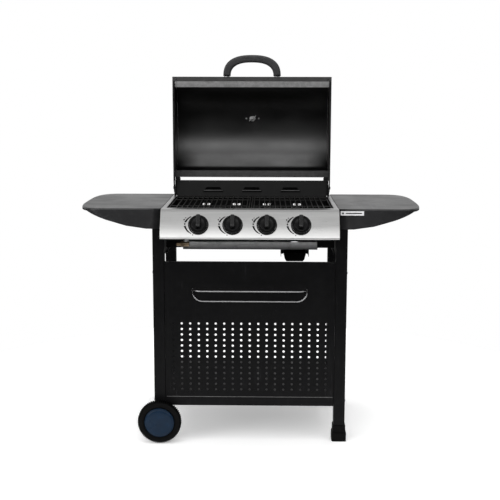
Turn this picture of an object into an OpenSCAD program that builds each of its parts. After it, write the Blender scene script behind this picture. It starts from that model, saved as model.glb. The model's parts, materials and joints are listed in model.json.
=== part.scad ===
// Four-burner gas barbecue on a two-wheeled cart, drawn with its lid open.
// Millimetres, +Z up, +X to the cook's right, -Y towards the cook.
// The origin is on the floor under the middle of the whole outline.
// Modules are drawn in cart coordinates, where Y = 0 is the front face of the front legs,
// and at_cart() moves them to the part's own frame.

/* [Cart] */
// Width over the outer faces of the legs
cart_w = 680; // [660:5:720]
// Depth from the front of the front legs to the back of the rear legs
cart_d = 482; // [476:1:490]
// Width of the square leg tubes
leg = 40; // [36:1:42]
// Wall of the leg and rail tubes
tube_wall = 1.5; // [1.2:0.1:2]
// Sheet steel thickness of the panels and shelves
sheet = 1.2; // [1:0.1:1.5]
// Height of the working surfaces above the floor
work_h = 838; // [830:1:850]
// Top of the bottom shelf
low_shelf_z = 161; // [150:1:175]
// Top of the perforated front panel
panel_top_z = 650; // [640:1:660]

/* [Front panel] */
// Diameter of the round perforations
perf_d = 7.8; // [6:0.2:9]
// Perforation pitch across the panel
perf_dx = 30; // [28:0.5:31]
// Perforation pitch up the panel
perf_dz = 20; // [16:0.5:22]
// Perforations in a row
perf_cols = 19; // [9:2:19]
// Rows of perforations
perf_rows = 13; // [5:1:15]

/* [Side shelves] */
// Overall width over both side shelves
shelf_span = 1210; // [1150:5:1240]
// Depth of the front skirt where it meets the leg
skirt_h = 72; // [60:1:80]
// Depth of the skirt at the tip of the shelf
skirt_tip_h = 11; // [8:1:16]

/* [Control panel] */
// Backward lean of the panel face, in degrees
knob_tilt = 26; // [20:1:30]
// Distance between neighbouring knobs
knob_pitch = 117; // [110:1:118]
// Travel of a knob when it is pushed in
knob_push = 4; // [3:0.5:4]

/* [Lid] */
// Outer width over the lid's end caps
lid_w = 602; // [600:1:606]
// Height of the closed lid above its rim
lid_h = 204; // [180:1:220]
// Width of the handle arch
handle_w = 219; // [200:1:240]
// Reach of the handle from the lid's front wall
handle_reach = 82; // [70:1:90]

/* [Wheels] */
// Tyre diameter
wheel_d = 155; // [150:1:160]
// Tyre width
tyre_w = 32; // [28:1:34]
// Axle diameter
axle_d = 10; // [8:0.5:10]

/* [Hidden] */
$fn = 48;

// Y of the front legs' front faces in the part's frame
front_y = -259;
// clearance between pieces that only lie next to each other
gap = 0.3;
// radial clearance of a shaft turning in its bore
run = 0.05;

// frame
half_w = cart_w / 2;
leg_in = half_w - leg;
leg_top = work_h - sheet - 0.5;
rail_z = 804;
rail_h = 30;
brace_z = 673;
brace_h = 52;
cross_z = 754;

// bottom shelf and front panel
apron_h = 31;
fold = 18;
perf_z = low_shelf_z + 29;

// towel rail
wire_r = 2.5;
rail_half = 201;
rail_out = 38;
rail_corner = 36;
rail_top_z = 554;
rail_low_z = 511;
rail_low_y = -3.2;

// side shelves
shelf_in = 308;
shelf_tip = shelf_span / 2;
shelf_y0 = -1.5;
shelf_y1 = cart_d + 1.5;
shelf_round = 3.3;
shelf_curve_x = 500;

// firebox
box_half = 290;
box_y0 = 22;
box_y1 = 417;
box_bottom = 722;
strip_w = 15;
strip_end = 470;
grate_top = work_h - 2;
back_top = 897;
louvre_w = 74;
louvre_pitch = 149;

// control panel profile
panel_half = 307;
roll_r = 22;
roll_y = -12;
lower_r = 8;
panel_low = 738;
panel_back = 20;
n_ang = 180 - knob_tilt;
top_end = [roll_y + roll_r * cos(n_ang), work_h - roll_r + roll_r * sin(n_ang)];
face_len = (top_end[1] - (panel_low + lower_r + lower_r * sin(n_ang))) / cos(knob_tilt);
low_centre = [
    top_end[0] - face_len * sin(knob_tilt) - lower_r * cos(n_ang),
    panel_low + lower_r
];
knob_along = 42;
knob_base = [
    top_end[0] - knob_along * sin(knob_tilt),
    top_end[1] - knob_along * cos(knob_tilt)
];
knob_x = [for (i = [-1.5:1:1.5]) i * knob_pitch];

// valves and gas, measured along the knob axis from the panel's face
stem_r = 3.95;
plug_r = 7;
valve_r = 11;
manifold_r = 9.5;
manifold_at = knob_base
    + 36 * [cos(knob_tilt), -sin(knob_tilt)]
    - (valve_r + manifold_r + gap) * [sin(knob_tilt), cos(knob_tilt)];
inlet_x = -218;
inlet_z = 727;
burner_z = 764;
burner_r = 11;

// drip tray and grease cup
tray_half = 238;
tray_y0 = 58;
tray_y1 = 402;
tray_z0 = 686;
tray_z1 = 713;
cup_x = 162;
cup_y = 230;
cup_half = 42;
cup_z0 = 620;
cup_rim_z = 653;

// lid, drawn closed and then swung open about the hinge pins
pivot = [420, 869];
lid_half = lid_w / 2;
cap_t = 1.5;
rim_z = work_h + 2;
lid_y0 = -3;
lid_y1 = 382;
lid_shoulder = 885;
lid_mid = (lid_y0 + lid_y1) / 2;
lid_a = (lid_y1 - lid_y0) / 2;
lid_b = rim_z + lid_h - lid_shoulder;
lid_n = 2.4;
lid_rear_z = 900;
pin_r = 3;
lug_r = 18;
tab_top = 866.6;
bracket_x = lid_half - cap_t - gap - 1.8;
handle_z = 880;
handle_t = 22;
handle_bar = 28;
handle_screw_x = handle_w / 2 - handle_bar / 2;
gauge_y = 159;
gauge_z = rim_z + lid_h + 0.4;
gauge_r = 30;

// wheels
wheel_r = wheel_d / 2;
axle_r = axle_d / 2;
axle_x = -half_w + leg / 2;
wheel_out = 25;
wheel_ys = [-wheel_out, cart_d + wheel_out];

// ---- helpers ----

module at_cart() { translate([0, front_y, 0]) children(); }

module both_sides() {
    children();
    mirror([1, 0, 0]) children();
}

// a box between two corners
module box(lo, hi) { translate(lo) cube(hi - lo); }

// an outline in Y and Z, extruded from x0 to x1
module slab_x(x0, x1) {
    translate([x0, 0, 0]) rotate([90, 0, 90]) linear_extrude(x1 - x0) children();
}

// an outline in X and Z, extruded from y0 to y1
module slab_y(y0, y1) {
    translate([0, y1, 0]) rotate([90, 0, 0]) linear_extrude(y1 - y0) children();
}

module rod_x(x0, x1, y, z, r) {
    translate([x0, y, z]) rotate([0, 90, 0]) cylinder(r = r, h = x1 - x0);
}

module rod_y(y0, y1, x, z, r) {
    translate([x, y0, z]) rotate([-90, 0, 0]) cylinder(r = r, h = y1 - y0);
}

// a square with round corners and exact arcs
module round_rect(w, d, r) {
    square([w - 2 * r, d], center = true);
    square([w, d - 2 * r], center = true);
    for (x = [-1, 1], y = [-1, 1])
        translate([x * (w / 2 - r), y * (d / 2 - r)]) circle(r = r, $fn = 32);
}

// a square tube standing between two heights
module leg_tube(x, y, z0, z1) {
    translate([x, y, z0]) linear_extrude(z1 - z0) difference() {
        round_rect(leg, leg, 2);
        square(leg - 2 * tube_wall, center = true);
    }
}

function sgn_pow(v, p) = sign(v) * pow(abs(v), p);

// a point on a superellipse with half axes a and b and exponent n
function super_pt(a, b, n, t) = [a * sgn_pow(cos(t), 2 / n), b * sgn_pow(sin(t), 2 / n)];

// ---- cart ----

module legs_left() color("#1b1b1c") at_cart() {
    for (y = [leg / 2, cart_d - leg / 2])
        difference() {
            leg_tube(-half_w + leg / 2, y, 52, leg_top);
            rod_y(y - leg, y + leg, axle_x, wheel_r, axle_r + 0.1);
        }
}

module legs_right() color("#1b1b1c") at_cart() {
    for (y = [leg / 2, cart_d - leg / 2]) leg_tube(half_w - leg / 2, y, 5.5, leg_top);
}

module feet() color("#161616") at_cart() {
    base_h = 31;
    collar_h = 58;
    for (y = [leg / 2, cart_d - leg / 2])
        translate([half_w - leg / 2, y, 0]) difference() {
            union() {
                linear_extrude(base_h) round_rect(leg + 12, leg + 12, 5);
                linear_extrude(collar_h) round_rect(leg + 6, leg + 6, 4);
            }
            translate([0, 0, 5]) linear_extrude(collar_h) square(leg + 0.4, center = true);
        }
}

module bottom_shelf() color("#202022") at_cart() {
    x1 = leg_in - 0.5;
    difference() {
        box([-x1, 0, low_shelf_z - apron_h], [x1, cart_d, low_shelf_z]);
        box([-x1 + sheet, sheet, low_shelf_z - apron_h - 1],
            [x1 - sheet, cart_d - sheet, low_shelf_z - sheet]);
    }
}

module front_panel() color("#1f2021") at_cart() {
    x1 = leg_in - 1;
    z0 = low_shelf_z + gap;
    slab_y(0, sheet) difference() {
        translate([-x1, z0]) square([2 * x1, panel_top_z - z0]);
        for (i = [0:perf_cols - 1], j = [0:perf_rows - 1])
            translate([(i - (perf_cols - 1) / 2) * perf_dx, perf_z + j * perf_dz])
                circle(d = perf_d, $fn = 24);
        for (s = [-1, 1]) translate([s * rail_half, rail_top_z]) circle(r = 3, $fn = 24);
    }
    box([-x1, 0, panel_top_z - sheet], [x1, fold, panel_top_z]);
    both_sides() box([x1 - sheet, 0, z0], [x1, fold, panel_top_z]);
}

module towel_rail() color("#c9cbcc") at_cart() {
    x1 = rail_half - rail_corner;
    low_bend_z = rail_low_z + rail_corner;
    rod_x(-x1, x1, -rail_out, rail_top_z, wire_r);
    rod_x(-x1, x1, rail_low_y, rail_low_z, wire_r);
    both_sides() {
        translate([x1, rail_corner - rail_out, rail_top_z]) rotate([0, 0, -90])
            rotate_extrude(angle = 90) translate([rail_corner, 0]) circle(r = wire_r);
        translate([x1, rail_low_y, low_bend_z]) rotate([90, 0, 0]) rotate([0, 0, -90])
            rotate_extrude(angle = 90) translate([rail_corner, 0]) circle(r = wire_r);
        translate([rail_half, rail_low_y, low_bend_z])
            cylinder(r = wire_r, h = rail_top_z - low_bend_z + wire_r);
        rod_y(rail_corner - rail_out - 2, 10, rail_half, rail_top_z, 2.8);
        rod_y(sheet + 0.2, 5, rail_half, rail_top_z, 6);
    }
}

// tubes that carry the shelves, and below them the lipped plates that brace the legs
module side_rails() color("#1b1b1c") at_cart() {
    y0 = leg + gap;
    y1 = cart_d - leg - gap;
    both_sides() {
        difference() {
            box([leg_in + 0.5, y0, rail_z], [leg_in + 25, y1, rail_z + rail_h]);
            box([leg_in + 0.5 + tube_wall, 0, rail_z + tube_wall],
                [leg_in + 25 - tube_wall, cart_d, rail_z + rail_h - tube_wall]);
        }
        box([leg_in + 1, y0, brace_z], [leg_in + 1 + sheet, y1, brace_z + brace_h]);
        box([leg_in - 6, y0, brace_z], [leg_in + 1 + sheet, y1, brace_z + sheet]);
    }
}

module cross_rails() color("#1b1b1c") at_cart() {
    x1 = leg_in - gap;
    for (y = [1, cart_d - 25])
        difference() {
            box([-x1, y, cross_z - 22], [x1, y + 20, cross_z - 2]);
            box([-cart_w, y + tube_wall, cross_z - 22 + tube_wall],
                [cart_w, y + 20 - tube_wall, cross_z - 2 - tube_wall]);
        }
}

// plan of the right side shelf, shrunk by inset on its outer sides
function shelf_plan(inset) = let (
    mid = (shelf_y0 + shelf_y1) / 2,
    a = shelf_tip - shelf_curve_x - inset,
    b = (shelf_y1 - shelf_y0) / 2 - inset
) concat(
    [[shelf_in, mid - b]],
    [for (t = [-90:6:90]) super_pt(a, b, shelf_round, t) + [shelf_curve_x, mid]],
    [[shelf_in, mid + b]]
);

// lower edge of the skirt at x: level at the leg, then sweeping up to the tip
function skirt_z(x) = let (
    reach = min(max(x - half_w, 0) / (shelf_tip - 35 - half_w), 1)
) work_h - skirt_h + (skirt_h - skirt_tip_h) * pow(reach, 1.85);

module side_shelf_shape() {
    low = work_h - skirt_h - 1;
    translate([0, 0, work_h - sheet]) linear_extrude(sheet) polygon(shelf_plan(0));
    intersection() {
        translate([0, 0, low]) linear_extrude(skirt_h + 1) difference() {
            polygon(shelf_plan(0));
            polygon([for (p = shelf_plan(sheet)) p[0] > shelf_in ? p : [p[0] - 1, p[1]]]);
        }
        slab_y(shelf_y0 - 1, shelf_y1 + 1) polygon(concat(
            [[shelf_in, work_h], [shelf_in, skirt_z(shelf_in)]],
            [for (x = [half_w:15:shelf_tip + 1]) [x, skirt_z(x)]],
            [[shelf_tip + 1, work_h]]
        ));
    }
    box([shelf_in, leg + 5, rail_z + rail_h + 0.2],
        [shelf_in + sheet, cart_d - leg - 5, work_h]);
}

module side_shelf_right() color("#242426") at_cart() side_shelf_shape();

module side_shelf_left() color("#242426") at_cart() mirror([1, 0, 0]) side_shelf_shape();

// folded channels that carry the shelves out from the side rails
module shelf_brackets() color("#1b1b1c") at_cart() {
    x0 = leg_in + 25 + gap;
    top = leg_top;
    both_sides() for (y = [70, cart_d - 90])
        difference() {
            slab_y(y, y + 20) polygon([
                [x0, rail_z], [x0 + 60, rail_z + 8], [shelf_tip - 60, top - 8],
                [shelf_tip - 60, top], [x0, top]
            ]);
            box([x0 - 1, y + sheet, 0], [shelf_tip, y + 20 - sheet, top - sheet]);
        }
}

module badge() color("#d8d9da") at_cart() {
    box([313, shelf_y0 - 1.4, 816], [394, shelf_y0 - 0.05, 831]);
}

// rounded bolt heads on the outer sides of the legs
module frame_bolts() color("#3a3a3c") at_cart() {
    both_sides() for (y = [leg / 2, cart_d - leg / 2], z = [low_shelf_z - 16, panel_top_z - 40])
        translate([half_w, y, z]) rotate([0, 90, 0]) {
            cylinder(r = 6, h = 1.4);
            cylinder(r = 4.2, h = 3.2);
        }
}

// ---- wheels ----

// puts a shape on an axle end, with its +Z pointing away from the cart
module at_wheel(end) {
    translate([axle_x, wheel_ys[end], wheel_r]) rotate([end == 0 ? 90 : -90, 0, 0]) children();
}

module tyre(end) color("#141414") at_cart() at_wheel(end) {
    w = tyre_w / 2;
    shoulder = 5;
    rotate_extrude($fn = 96) polygon([
        [60.2, -w + 2], [64, -w], [wheel_r - shoulder, -w], [wheel_r, -w + shoulder],
        [wheel_r, w - shoulder], [wheel_r - shoulder, w], [64, w], [60.2, w - 2]
    ]);
}

module wheel_body(end) color("#202124") at_cart() at_wheel(end) {
    bore = axle_r + run;
    w = tyre_w / 2 - 2;
    rotate_extrude($fn = 96) polygon([
        [bore, -w - 0.7], [13, -w - 0.7], [14, -3], [54, -3], [56, -w], [60, -w],
        [60, w], [56, w], [54, 3], [14, 3], [13, w - 5], [bore, w - 5]
    ]);
}

module hub_cap(end) color("#1e2b41") at_cart() at_wheel(end) {
    r = 52.5;
    z = tyre_w / 2;
    rotate_extrude($fn = 96) polygon([
        [0, z + 2], [20, z + 1.8], [38, z + 1], [46, z - 0.5], [49, z - 3], [r - 1.5, 4], [r, 4],
        [r, z - 2], [r - 1.5, z], [r - 3, z], [47, z + 1.5], [39, z + 3], [20, z + 3.8], [0, z + 4]
    ]);
}

module front_tyre() tyre(0);
module front_wheel() wheel_body(0);
module front_hub_cap() hub_cap(0);
module rear_tyre() tyre(1);
module rear_wheel() wheel_body(1);
module rear_hub_cap() hub_cap(1);

// one steel rod through both left legs, with spacers and push nuts
module axle() color("#8f9193") at_cart() {
    end = wheel_out + 14;
    rod_y(-end, cart_d + end, axle_x, wheel_r, axle_r);
    for (y = [-end + 0.4, cart_d + end - 2.4]) rod_y(y, y + 2, axle_x, wheel_r, 8);
    for (y = [-wheel_out + 15, cart_d + gap]) rod_y(y, y + 9.7, axle_x, wheel_r, 8);
}

// ---- firebox ----

module firebox() color("#19191a") at_cart() {
    top = work_h - 2 * sheet - 0.2;
    open_x = 212;
    difference() {
        box([-box_half, box_y0, box_bottom], [box_half, box_y1, top]);
        box([-box_half + sheet, box_y0 + sheet, box_bottom + sheet],
            [box_half - sheet, box_y1 - sheet, top + 1]);
        box([-open_x, 72, box_bottom - 1], [open_x, 368, box_bottom + 2]);
        for (x = knob_x) {
            rod_y(box_y0 - 1, box_y0 + 2, x, burner_z, burner_r + 1);
            for (s = [-1, 1])
                translate([x + s * 9, box_y1, 805]) cube([11, 6, 6.5], center = true);
        }
    }
    both_sides() {
        box([box_half, box_y0, top - sheet], [leg_in - 0.5, box_y1, top]);
        box([box_half - 8, box_y0 + 1, 776], [box_half - 1, box_y1 - 1, 777]);
    }
    for (y = [box_y0 + sheet, box_y1 - sheet - 10])
        box([-box_half + 1, y, grate_top - 9.4], [box_half - 1, y + 10, grate_top - 8.4]);
    box([-box_half, 5.5, top - sheet], [box_half, box_y0 + 1, top]);
}

module louvre_outline(w, h, z) {
    polygon([[-w / 2, z], [w / 2, z], [w / 2 - 8, z + h], [-w / 2 + 8, z + h]]);
}

// raised rear wall with three louvred vents, each with a slanted hood
module back_wall() color("#1b1b1c") at_cart() {
    y0 = box_y1 + 0.2;
    difference() {
        union() {
            box([-box_half, y0, 812], [box_half, y0 + sheet, back_top]);
            box([-box_half, y0, back_top - sheet], [box_half, y0 + 12, back_top]);
            both_sides() {
                box([box_half - sheet, y0, 838.4], [box_half, y0 + 12, back_top]);
                box([box_half - sheet, y0 + 12 - sheet, work_h + 2],
                    [bracket_x - 0.6, y0 + 12, back_top]);
            }
        }
        for (i = [-1:1]) translate([i * louvre_pitch, 0, 0])
            slab_y(y0 - 1, y0 + sheet + 1) louvre_outline(louvre_w - 6, 11, 860);
    }
    for (i = [-1:1]) translate([i * louvre_pitch, 0, 0]) {
        slab_x(-louvre_w / 2, louvre_w / 2)
            polygon([[y0, 852], [y0, 860], [y0 - 5, 858.5], [y0 - 5.6, 857.5]]);
        slab_x(-louvre_w / 2 - 1, louvre_w / 2 + 1)
            polygon([[y0 + sheet - 0.1, 875], [y0 + 9, 864], [y0 + 9, 856], [y0 + 8, 856],
                     [y0 + 8, 863.6], [y0 + sheet - 0.1, 873.5]]);
    }
}

module rim_strips() color("#b4b6b8") at_cart() {
    both_sides() {
        x0 = box_half + 1;
        box([x0, panel_back + 0.6, work_h - sheet], [x0 + strip_w, strip_end, work_h]);
        box([x0 + strip_w - 0.8, leg + 2, rail_z + rail_h + 0.2],
            [x0 + strip_w, strip_end - leg, work_h]);
    }
}

// hinge plates on the rim, each with its riveted pin and the tab that stops the open lid
module hinge_brackets() color("#121213") at_cart() {
    both_sides() {
        slab_x(bracket_x, bracket_x + 1.8) {
            polygon([[402, work_h + 0.05], [438, work_h + 0.05], [437, 860], [450, 862],
                     [450, tab_top], [434, tab_top], [406, tab_top]]);
            translate(pivot) circle(r = 14);
        }
        box([292, 402, work_h + 0.05], [bracket_x + 1, 438, work_h + 1.4]);
        box([bracket_x, 441, tab_top - 2.6], [lid_half, 450, tab_top]);
        rod_x(bracket_x + 1, lid_half + 3, pivot[0], pivot[1], pin_r);
        rod_x(lid_half + 0.4, lid_half + 3, pivot[0], pivot[1], 5.5);
    }
}

// ---- control panel and gas train ----

// outer line of the panel: top roll, straight face, rolled lower edge
function panel_line(in) = concat(
    [[panel_back, work_h - in]],
    [for (t = [90:8:n_ang])
        [roll_y, work_h - roll_r] + (roll_r - in) * [cos(t), sin(t)]],
    [for (t = [n_ang:(262 - n_ang) / 10:262])
        low_centre + (lower_r - in) * [cos(t), sin(t)]],
    [[low_centre[0] + 9, panel_low + in + 1]]
);

function reversed(list) = [for (i = [len(list) - 1:-1:0]) list[i]];

// puts a shape at a knob, with +Z out of the panel along the knob's axis
module at_knob(x) {
    translate([x, knob_base[0], knob_base[1]]) rotate([90 - knob_tilt, 0, 0]) children();
}

module control_panel() color("#c4c5c6") at_cart() {
    difference() {
        union() {
            slab_x(-panel_half, panel_half)
                polygon(concat(panel_line(0), reversed(panel_line(sheet))));
            both_sides() slab_x(panel_half - sheet, panel_half) polygon(concat(
                [[-2, work_h - 0.4]],
                [for (p = panel_line(0.4)) if (p[0] < -3) p],
                [[-2, panel_low + 6]]
            ));
        }
        for (x = knob_x) at_knob(x) translate([0, 0, -8]) cylinder(r = 6.5, h = 16);
    }
}

module knob_bezels() color("#101011") at_cart() {
    for (x = knob_x) at_knob(x) rotate_extrude($fn = 72) polygon([
        [5, 0.05], [35, 0.05], [35, 4], [33.6, 6.6], [31.8, 6.6], [31.8, 2], [5, 2]
    ]);
}

module manifold() color("#9a9c9e") at_cart() {
    y = manifold_at[0];
    z = manifold_at[1];
    x0 = inlet_x - 8;
    difference() {
        union() {
            rod_x(x0, 205, y, z, manifold_r);
            translate([inlet_x, y, inlet_z]) cylinder(r = 7.5, h = z - inlet_z);
        }
        rod_x(x0 + 2, 203, y, z, manifold_r - 1.5);
        translate([inlet_x, y, inlet_z]) cylinder(r = 6, h = z - inlet_z);
        for (x = knob_x) at_knob(x) translate([0, 0, -36]) rotate([90, 0, 0])
            cylinder(r = 5 + run, h = valve_r + manifold_r);
    }
}

// brass elbow and nut that take the gas hose
module gas_inlet() color("#b08d45") at_cart() {
    y = manifold_at[0];
    difference() {
        union() {
            rod_x(inlet_x - 8, inlet_x + 9, y, inlet_z - 9.2, 9);
            translate([inlet_x - 20, y, inlet_z - 9.2]) rotate([0, 90, 0])
                cylinder(r = 10.5, h = 12, $fn = 6);
            rod_x(inlet_x - 34, inlet_x - 20, y, inlet_z - 9.2, 6.6);
        }
        rod_x(inlet_x - 35, inlet_x + 6, y, inlet_z - 9.2, 4);
    }
}

module valve_bodies() color("#b3b5b6") at_cart() {
    for (x = knob_x) {
        at_knob(x) difference() {
            union() {
                translate([0, 0, -50]) cylinder(r = valve_r, h = 40);
                translate([0, 0, -36]) rotate([90, 0, 0])
                    cylinder(r = 5, h = valve_r + 3.2);
            }
            translate([0, 0, -45]) cylinder(r = plug_r + run, h = 21);
            translate([0, 0, -24.1]) cylinder(r = 6.4, h = 12.1);
            translate([0, 0, -13]) cylinder(r = stem_r + run, h = 4);
            translate([0, 0, -36]) rotate([90, 0, 0]) cylinder(r = 3, h = valve_r + 4);
        }
        difference() {
            rod_y(-4, 15, x, burner_z, 5.5);
            rod_y(5, 16, x, burner_z, 1);
        }
    }
}

module valve_plug(i) color("#b08d45") at_cart() at_knob(knob_x[i]) {
    difference() {
        translate([0, 0, -44.7]) cylinder(r = plug_r, h = 20.4);
        translate([0, 0, -39]) cylinder(r = stem_r + run, h = 16);
        translate([0, 0, -36]) rotate([90, 0, 0]) translate([0, 0, -plug_r - 1])
            cylinder(r = 2, h = 2 * plug_r + 2);
    }
}

// stem with the collar and a flat for the knob
module valve_stem(i) color("#9a9c9e") at_cart() at_knob(knob_x[i]) {
    difference() {
        union() {
            translate([0, 0, -33]) cylinder(r = stem_r, h = 53);
            translate([0, 0, -14.5]) cylinder(r = 6, h = 1.5);
        }
        translate([2.4, -5, 8]) cube([5, 10, 13]);
    }
}

module knob(i) color("#0f0f10") at_cart() at_knob(knob_x[i]) {
    low = 2.4 + knob_push;
    difference() {
        union() {
            rotate_extrude($fn = 72) polygon([
                [0, low], [31.2, low], [31.2, low + 5], [29.6, low + 8], [25, low + 11.5],
                [17, low + 14], [8, low + 15], [0, low + 15]
            ]);
            translate([0, 8, low + 8]) linear_extrude(14) round_rect(15, 46, 6.5);
        }
        difference() {
            cylinder(r = stem_r + run, h = 20.2);
            translate([2.45, -5, 8]) cube([5, 10, 13]);
        }
    }
}

module valve_plug_1() valve_plug(0);
module valve_plug_2() valve_plug(1);
module valve_plug_3() valve_plug(2);
module valve_plug_4() valve_plug(3);
module valve_stem_1() valve_stem(0);
module valve_stem_2() valve_stem(1);
module valve_stem_3() valve_stem(2);
module valve_stem_4() valve_stem(3);
module knob_1() knob(0);
module knob_2() knob(1);
module knob_3() knob(2);
module knob_4() knob(3);

module burners() color("#7d7a74") at_cart() {
    for (x = knob_x) difference() {
        union() {
            rod_y(16.5, 392, x, burner_z, burner_r);
            box([x - 6, 390, burner_z - 1], [x + 6, box_y1 - sheet - 0.3, burner_z + 1]);
        }
        rod_y(15, 390, x, burner_z, burner_r - 1);
        for (y = [70:24:370]) rod_x(x - 20, x + 20, y, burner_z, 1.3);
    }
}

module flame_tamers() color("#4a4642") at_cart() {
    for (x = knob_x) translate([x, 0, 0]) slab_y(36, 404) polygon([
        [-44, 778], [0, 797], [44, 778], [44, 779.2], [0, 798.3], [-44, 779.2]
    ]);
    for (y = [34, 405]) box([-288, y, 777.3], [288, y + 1, 781]);
}

module spark_electrodes() color("#e4e0d6") at_cart() {
    for (x = knob_x) {
        rod_y(46, 84, x + 18, burner_z, 3.5);
        rod_y(40, 92, x + 18, burner_z, 1);
    }
}

// two grates side by side: wires along Y welded onto four cross wires
module cooking_grates() color("#151515") at_cart() {
    w = box_half - sheet - 1;
    y0 = box_y0 + sheet + 1;
    y1 = box_y1 - sheet - 1;
    pitch = 19;
    bars = floor((w - 4) / pitch);
    bar_r = 1.8;
    cross_r = 2.2;
    for (s = [0, 1]) mirror([s, 0, 0]) {
        for (i = [0:bars - 1])
            translate([3 + pitch * (i + 0.5), y0, grate_top - bar_r])
                rotate([-90, 0, 0]) cylinder(r = bar_r, h = y1 - y0, $fn = 8);
        for (y = [y0 + cross_r, 133, 333, y1 - cross_r])
            translate([2, y, grate_top - 2 * bar_r - cross_r + 0.4])
                rotate([0, 90, 0]) cylinder(r = cross_r, h = w - 2, $fn = 8);
        for (x = [4, w - 2])
            translate([x, y0, grate_top - 2 * bar_r - 0.4])
                rotate([-90, 0, 0]) cylinder(r = 2, h = y1 - y0, $fn = 8);
    }
}

module tray_runners() color("#141415") at_cart() {
    x1 = tray_half + 9;
    both_sides() {
        box([x1, 46, tray_z1 - 2.6], [x1 + sheet, 404, box_bottom - 0.2]);
        box([tray_half + 1.5, 46, tray_z1 - 2.6], [x1 + sheet, 404, tray_z1 - 1.4]);
        box([tray_half - 2, 44.5, tray_z0 + 9], [leg_in - 4, 46, box_bottom - 0.2]);
    }
}

// drip tray with its rim, its drain hole and the two rails that hold the grease cup
module drip_tray() color("#8b8d90") at_cart() {
    t = 1;
    difference() {
        union() {
            box([-tray_half, tray_y0, tray_z0], [tray_half, tray_y1, tray_z1]);
            box([-tray_half - 8, tray_y0, tray_z1 - t], [tray_half + 8, tray_y1, tray_z1]);
        }
        box([-tray_half + t, tray_y0 + t, tray_z0 + t], [tray_half - t, tray_y1 - t, tray_z1 + 1]);
        translate([cup_x, cup_y, tray_z0 - 1]) cylinder(r = 14, h = 4);
    }
    for (s = [0, 1]) translate([cup_x, 0, 0]) mirror([s, 0, 0]) {
        box([cup_half + 8, cup_y - 47, cup_rim_z - 14], [cup_half + 9.4, cup_y + 47, tray_z0]);
        box([cup_half + 1, cup_y - 47, cup_rim_z - 3.4],
            [cup_half + 8.2, cup_y + 47, cup_rim_z - 2.2]);
    }
}

// tapered square cup with a rim that slides on the tray's rails
module cup_solid(half, z0, z1, taper) {
    intersection() {
        translate([cup_x, 0, 0]) slab_y(cup_y - 60, cup_y + 60) polygon([
            [-half, z1], [half, z1], [half - taper, z0 + 8], [half - taper - 6, z0],
            [-half + taper + 6, z0], [-half + taper, z0 + 8]
        ]);
        translate([0, cup_y, 0]) slab_x(cup_x - 60, cup_x + 60) polygon([
            [-half, z1], [half, z1], [half - taper, z0], [-half + taper, z0]
        ]);
    }
}

module grease_cup() color("#0e0e0f") at_cart() {
    rim = cup_half + 7.4;
    difference() {
        union() {
            cup_solid(cup_half, cup_z0, cup_rim_z, 6);
            box([cup_x - rim, cup_y - 45, cup_rim_z - 1.6], [cup_x + rim, cup_y + 45, cup_rim_z]);
        }
        cup_solid(cup_half - 1.2, cup_z0 + 1.2, cup_rim_z + 0.01, 6);
    }
}

// ---- lid ----

// swings the closed lid up by a quarter turn about its hinge pins
module opened() {
    translate([0, pivot[0], pivot[1]]) rotate([-90, 0, 0]) translate([0, -pivot[0], -pivot[1]])
        children();
}

// section of the barrel from its rear edge over the top to the front wall
function barrel(in) = [for (t = [6:6:180])
    super_pt(lid_a - in, lid_b - in, lid_n, t) + [lid_mid, lid_shoulder]];

module lid_skin() color("#1a1a1b") at_cart() opened() {
    x1 = lid_half - cap_t - gap;
    difference() {
        union() {
            slab_x(-x1, x1) polygon(concat(
                [[lid_y1, lid_rear_z]], barrel(0), [[lid_y0, rim_z]],
                [[lid_y0 + sheet, rim_z]], reversed(barrel(sheet)), [[lid_y1 - sheet, lid_rear_z]]
            ));
            box([-x1, lid_y0, rim_z], [x1, lid_y0 + 17, rim_z + sheet]);
            box([-x1, lid_y1 - 26, lid_rear_z], [x1, lid_y1, lid_rear_z + sheet]);
            slab_x(-x1 + 7, x1 - 7) polygon([
                [lid_y0 + 16, rim_z], [lid_y0 + 17, rim_z],
                [lid_y0 + 39, rim_z + 12], [lid_y0 + 38, rim_z + 13]
            ]);
        }
        for (s = [-1, 1]) rod_y(lid_y0 - 1, lid_y0 + 3, s * handle_screw_x, handle_z, 3.2);
        translate([0, gauge_y, gauge_z - 8]) cylinder(r = 4.1, h = 12);
    }
}

// end plate with a folded rim and the lug that turns on the hinge pin
module lid_cap() {
    difference() {
        union() {
            slab_x(lid_half - cap_t, lid_half) {
                polygon(concat(
                    [[lid_y1, rim_z + 8]], [[lid_y1, lid_shoulder]], barrel(0),
                    [[lid_y0, rim_z]], [[lid_y1 - 8, rim_z]]
                ));
                polygon([[lid_y1 - 20, rim_z], [lid_y1 + 10, rim_z], [pivot[0] + 8, 853],
                         [pivot[0], 900], [lid_y1 - 20, 905]]);
                translate(pivot) circle(r = lug_r);
            }
            box([lid_half - 7.5, lid_y0 + 18, rim_z], [lid_half, lid_y1 + 8, rim_z + sheet]);
        }
        rod_x(lid_half - 4, lid_half + 2, pivot[0], pivot[1], pin_r + run);
    }
}

module lid_cap_right() color("#1d1d1e") at_cart() opened() lid_cap();

module lid_cap_left() color("#1d1d1e") at_cart() opened() mirror([1, 0, 0]) lid_cap();

module lid_handle() color("#1c1c1d") at_cart() opened() {
    base = lid_y0 - 3;
    reach = handle_reach - 3;
    n = 2.5;
    difference() {
        translate([0, base, handle_z - handle_t / 2]) linear_extrude(handle_t) polygon(concat(
            [for (t = [180:6:360]) super_pt(handle_w / 2, reach, n, t)],
            [for (t = [360:-6:180])
                super_pt(handle_w / 2 - handle_bar, reach - handle_bar, n, t)]
        ));
        for (s = [-1, 1]) rod_y(base - 14, base + 1, s * handle_screw_x, handle_z, 3.1);
    }
}

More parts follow.
